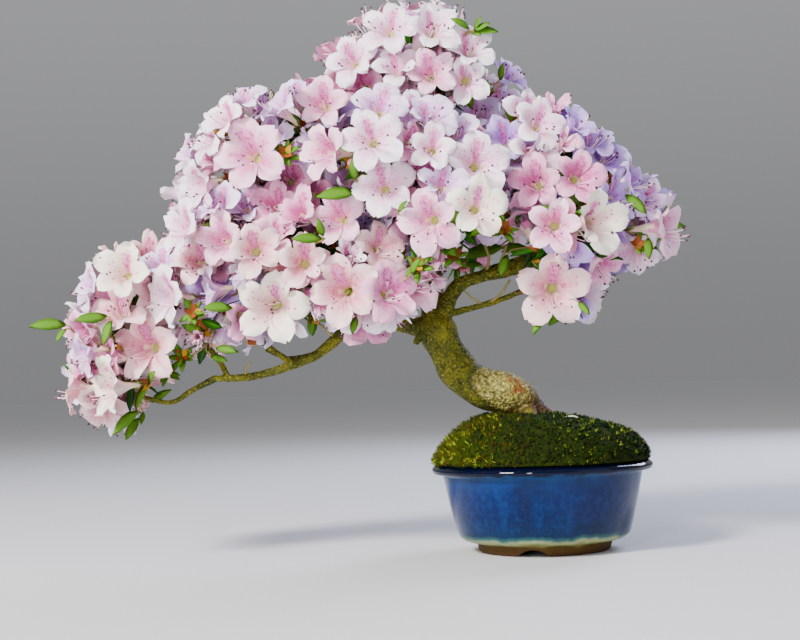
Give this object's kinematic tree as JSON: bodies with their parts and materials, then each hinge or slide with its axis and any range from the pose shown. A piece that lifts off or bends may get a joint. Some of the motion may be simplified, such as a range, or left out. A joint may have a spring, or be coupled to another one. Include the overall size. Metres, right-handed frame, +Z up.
{
  "type": "flowering azalea bonsai in a pot",
  "caption": "Flowering azalea bonsai with a leaning trunk, long low left bough, mossy soil mound and round blue glazed pot.",
  "frame": {"origin": "middle of the bounding box at the ground that the pot stands on", "axes": "+Z up, -Y towards the front, the crown leaning and reaching furthest to -X"},
  "size_m": [0.4322, 0.2166, 0.3629],
  "materials": {
    "glaze": "gloss",
    "soil": "matte",
    "moss": "matte",
    "bark": "matte",
    "foliage": "matte"
  },
  "bodies": {
    "root": {"pot": "glaze", "soil": "soil", "moss": "moss", "trunk": "bark", "left_bough": "bark", "left_tip_bough": "bark", "left_low_bough": "bark", "left_under_bough": "bark", "left_front_bough": "bark", "low_centre_bough": "bark", "left_mid_bough": "bark", "upper_left_bough": "bark", "upper_front_bough": "bark", "centre_front_bough": "bark", "upper_right_bough": "bark", "right_bough": "bark", "right_tip_bough": "bark", "right_low_bough": "bark", "back_low_bough": "bark", "back_left_bough": "bark", "back_right_bough": "bark", "back_top_bough": "bark", "apex_blossom": "foliage", "upper_left_blossom": "foliage", "upper_front_blossom": "foliage", "upper_right_blossom": "foliage", "right_tip_blossom": "foliage", "right_front_blossom": "foliage", "right_low_blossom": "foliage", "centre_front_blossom": "foliage", "left_mid_blossom": "foliage", "left_front_blossom": "foliage", "left_under_blossom": "foliage", "left_low_blossom": "foliage", "left_tip_blossom": "foliage", "low_centre_blossom": "foliage", "back_top_blossom": "foliage", "back_left_blossom": "foliage", "back_right_blossom": "foliage", "back_low_blossom": "foliage"}
  },
  "joints": []
}
